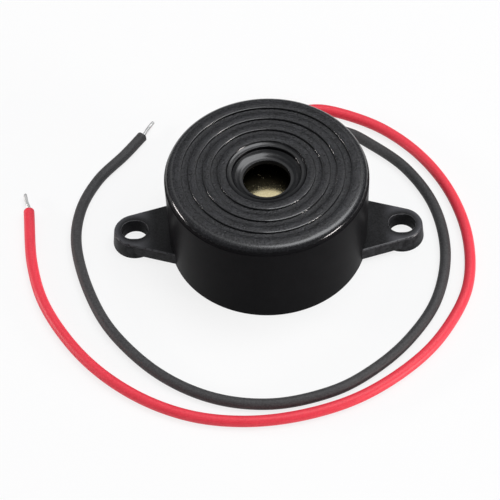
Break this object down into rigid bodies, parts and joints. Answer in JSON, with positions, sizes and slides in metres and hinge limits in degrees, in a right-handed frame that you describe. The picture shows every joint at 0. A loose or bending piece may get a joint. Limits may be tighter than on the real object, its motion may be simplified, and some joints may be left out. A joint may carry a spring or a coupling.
{
  "type": "piezo buzzer",
  "caption": "Round black alarm sounder with a ringed face, a centre sound port, slotted fixing lugs and loose wire leads; it sounds a tone when powered.",
  "frame": {"origin": "on the mounting face, at the middle of the round housing", "axes": "+X through the two fixing lugs, +Y to the side where the wires leave the wall, +Z towards the sounding face"},
  "size_m": [0.0678, 0.0604, 0.0154],
  "materials": {
    "housing_plastic": "black moulded ABS with a fine satin texture on the face and a smooth wall",
    "cover_plastic": "black moulded ABS, satin",
    "disc_brass": "rolled brass sheet, bright",
    "ceramic": "sintered ceramic, matt",
    "electrode_silver": "fired silver layer, satin",
    "silicone": "cured silicone, soft sheen",
    "board_laminate": "paper phenolic laminate",
    "transistor_resin": "moulded epoxy, matt",
    "tinned_lead": "tinned copper, satin",
    "ferrite": "sintered ferrite, matt",
    "enamelled_copper": "enamelled copper wire, glossy",
    "resistor_lacquer": "lacquered ceramic rod",
    "lead_black": "thin PVC insulation",
    "lead_red": "thin PVC insulation",
    "lead_white": "thin PVC insulation",
    "solder": "tin solder, bright",
    "red_insulation": "soft PVC insulation with a semi-gloss skin",
    "black_insulation": "soft PVC insulation with a semi-gloss skin",
    "tinned_core": "twisted tinned copper strands"
  },
  "bodies": {
    "root": {"housing": "housing_plastic", "back_cover": "cover_plastic", "brass_disc": "disc_brass", "piezo_ceramic": "ceramic", "main_electrode": "electrode_silver", "feedback_electrode": "electrode_silver", "silicone_bead": "silicone", "circuit_board": "board_laminate", "transistor_case": "transistor_resin", "transistor_legs": "tinned_lead", "choke_core": "ferrite", "choke_winding": "enamelled_copper", "choke_pins": "tinned_lead", "resistor_1": "resistor_lacquer", "resistor_2": "resistor_lacquer", "resistor_3": "resistor_lacquer", "resistor_leads": "tinned_lead", "disc_lead_1": "lead_black", "disc_lead_2": "lead_red", "disc_lead_3": "lead_white", "disc_solder": "solder", "board_solder": "solder", "red_wire": "red_insulation", "black_wire": "black_insulation", "red_wire_tip": "tinned_core", "black_wire_tip": "tinned_core", "red_inner_end": "tinned_core", "black_inner_end": "tinned_core"}
  },
  "joints": []
}
